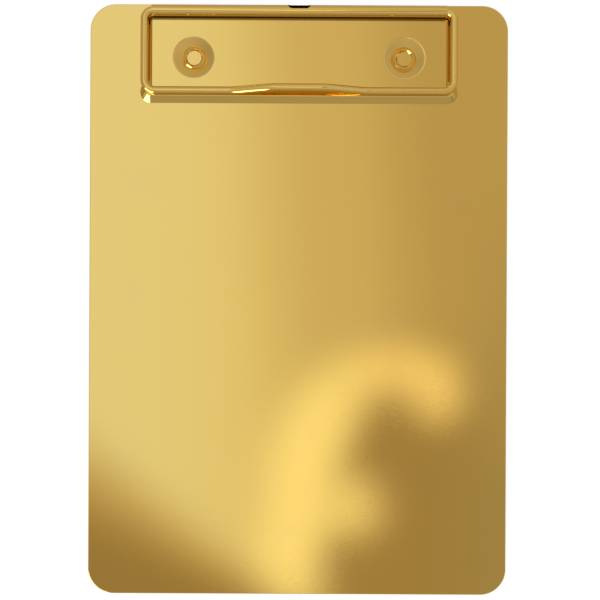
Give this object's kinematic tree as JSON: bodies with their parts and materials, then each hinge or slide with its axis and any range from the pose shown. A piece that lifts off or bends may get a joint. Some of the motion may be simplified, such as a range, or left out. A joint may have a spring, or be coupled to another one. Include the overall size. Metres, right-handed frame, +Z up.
{
  "type": "clipboard",
  "caption": "Small mirror-finish metal clipboard whose hinged wire bail clamps paper on the lip of a riveted, pressed clip plate.",
  "frame": {"origin": "under the middle of the board, on the surface it lies on", "axes": "+Z up out of the front of the board, +Y along its length towards the clip, +X to the right seen from the front"},
  "size_m": [0.1596, 0.225, 0.0115],
  "materials": {
    "gold_plated_board": "polished gold-coloured plating on sheet metal",
    "gold_plated_pressing": "polished gold-coloured plating on pressed spring steel sheet",
    "gold_plated_wire": "polished gold-coloured plating on spring wire",
    "gold_plated_rivet": "polished gold-coloured plating"
  },
  "bodies": {
    "board_body": {"board": "gold_plated_board", "base_plate": "gold_plated_pressing", "left_rivet": "gold_plated_rivet", "right_rivet": "gold_plated_rivet"},
    "bail_body": {"clamp_bail": "gold_plated_wire"}
  },
  "joints": [
    {"name": "bail_lift", "type": "hinge", "parent": "board_body", "child": "bail_body", "pos_m": [0, 0.10917, 0.00518], "axis": [-1, 0, 0], "range_deg": [0, 40], "stiffness_Nm_per_rad": 0.1, "springref_deg": -28.65}
  ]
}
